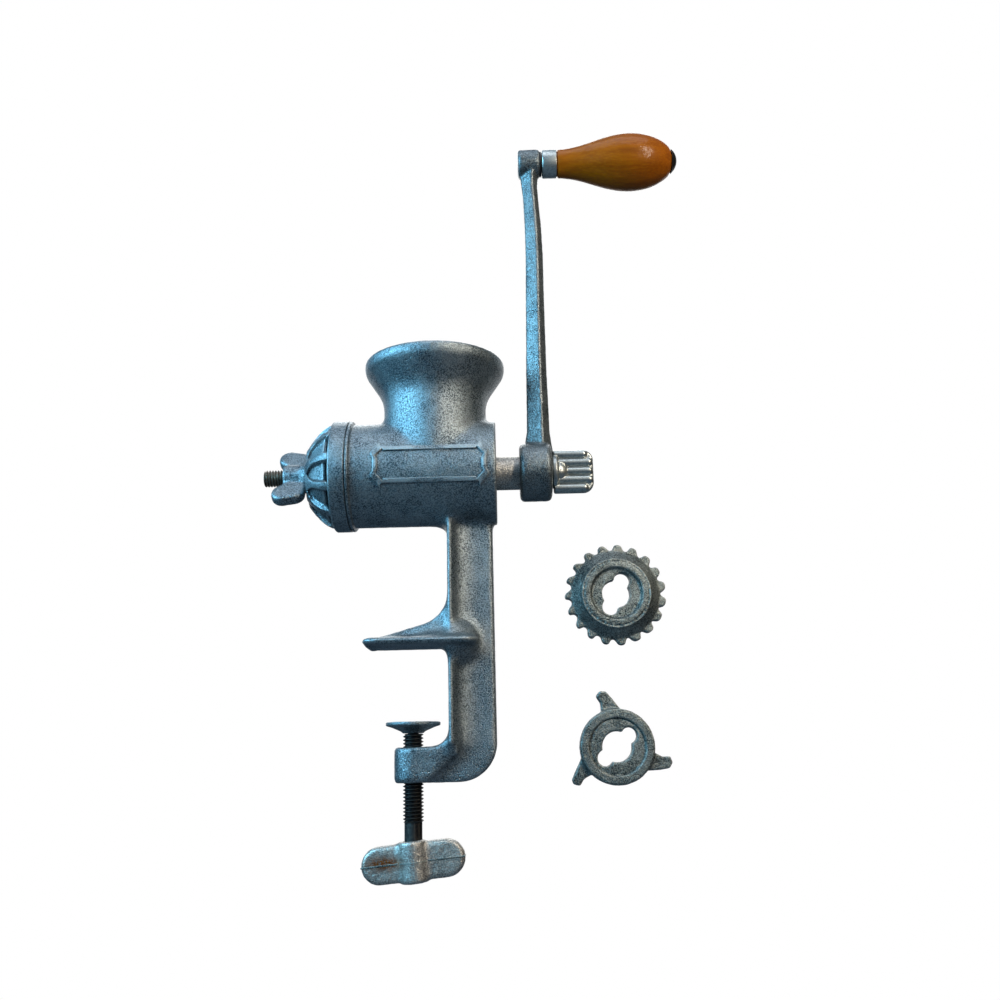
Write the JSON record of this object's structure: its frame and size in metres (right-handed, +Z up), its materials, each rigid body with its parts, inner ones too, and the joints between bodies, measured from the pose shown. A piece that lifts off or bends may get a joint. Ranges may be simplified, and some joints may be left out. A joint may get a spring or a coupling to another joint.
{
  "type": "manual meat grinder",
  "caption": "Hand cranked cast-iron meat grinder with a round hopper, a screw clamp for a table edge, a wooden crank grip and loose cutters.",
  "frame": {"origin": "on the clamp screw's axis, at the flat underside of the table jaw, where the table's top surface meets it", "axes": "+X along the barrel's axis from the cutter towards the crank, +Y away from the viewer, +Z up along the hopper and the clamp screw"},
  "size_m": [0.2454, 0.08, 0.4303],
  "materials": {
    "tinned_iron": "hot-tinned sand casting, fine pebbly grain, dull grey",
    "dark_iron": "tinned casting worn down to darker iron",
    "stud_steel": "machined steel, browned with age",
    "plated_steel": "bright nickel plate, lightly worn",
    "black_steel": "blued steel, nearly black, oiled",
    "varnished_wood": "turned hardwood under glossy amber varnish"
  },
  "bodies": {
    "frame": {"body_casting": "tinned_iron"},
    "drive": {"feed_screw": "dark_iron", "cutter_stud": "stud_steel"},
    "cutter": {"mounted_cutter": "dark_iron"},
    "wing_nut": {"wing_nut": "tinned_iron"},
    "crank": {"crank_arm": "dark_iron", "grip_pin": "black_steel", "grip_washer": "black_steel"},
    "thumb_screw": {"thumb_screw": "plated_steel"},
    "grip": {"grip": "varnished_wood", "ferrule": "plated_steel"},
    "clamp_pad": {"clamp_pad": "tinned_iron"},
    "clamp_screw": {"clamp_screw": "black_steel", "clamp_wing": "tinned_iron"},
    "toothed_cutter": {"spare_toothed_cutter": "dark_iron"},
    "blade_cutter": {"spare_blade_cutter": "dark_iron"}
  },
  "joints": [
    {"name": "crank_turn", "type": "hinge", "parent": "frame", "child": "drive", "pos_m": [0, 0, 0.0963], "axis": [1, 0, 0], "continuous": true},
    {"name": "cutter_release", "type": "slide", "parent": "drive", "child": "cutter", "axis": [-1, 0, 0], "range_m": [0, 0.0222]},
    {"name": "wing_nut_turn", "type": "hinge", "parent": "cutter", "child": "wing_nut", "pos_m": [-0.068, 0, 0.0963], "axis": [-1, 0, 0], "range_deg": [0, 5040]},
    {"name": "crank_release", "type": "slide", "parent": "drive", "child": "crank", "axis": [1, 0, 0], "range_m": [0, 0.0174]},
    {"name": "thumb_screw_turn", "type": "hinge", "parent": "crank", "child": "thumb_screw", "pos_m": [0.08, 0, 0.0963], "axis": [1, 0, 0], "range_deg": [0, 3960]},
    {"name": "grip_spin", "type": "hinge", "parent": "crank", "child": "grip", "pos_m": [0.12, 0, 0.292], "axis": [1, 0, 0], "continuous": true},
    {"name": "clamp_travel", "type": "slide", "parent": "frame", "child": "clamp_pad", "axis": [0, 0, 1], "range_m": [-0.0063, 0.0258]},
    {"name": "clamp_turn", "type": "hinge", "parent": "clamp_pad", "child": "clamp_screw", "pos_m": [0, 0, -0.06], "axis": [0, 0, 1], "range_deg": [-1260, 5130]},
    {"name": "toothed_cutter_lift", "type": "slide", "parent": "frame", "child": "toothed_cutter", "axis": [0, -1, 0], "range_m": [0, 0.02]},
    {"name": "blade_cutter_lift", "type": "slide", "parent": "frame", "child": "blade_cutter", "axis": [0, -1, 0], "range_m": [0, 0.02]}
  ],
  "couplings": [
    {"joint": "wing_nut_turn", "follows": "cutter_release", "rad_per_m": 3957.9},
    {"joint": "thumb_screw_turn", "follows": "crank_release", "rad_per_m": 3957.9},
    {"joint": "clamp_turn", "follows": "clamp_travel", "rad_per_m": 3463.7}
  ]
}
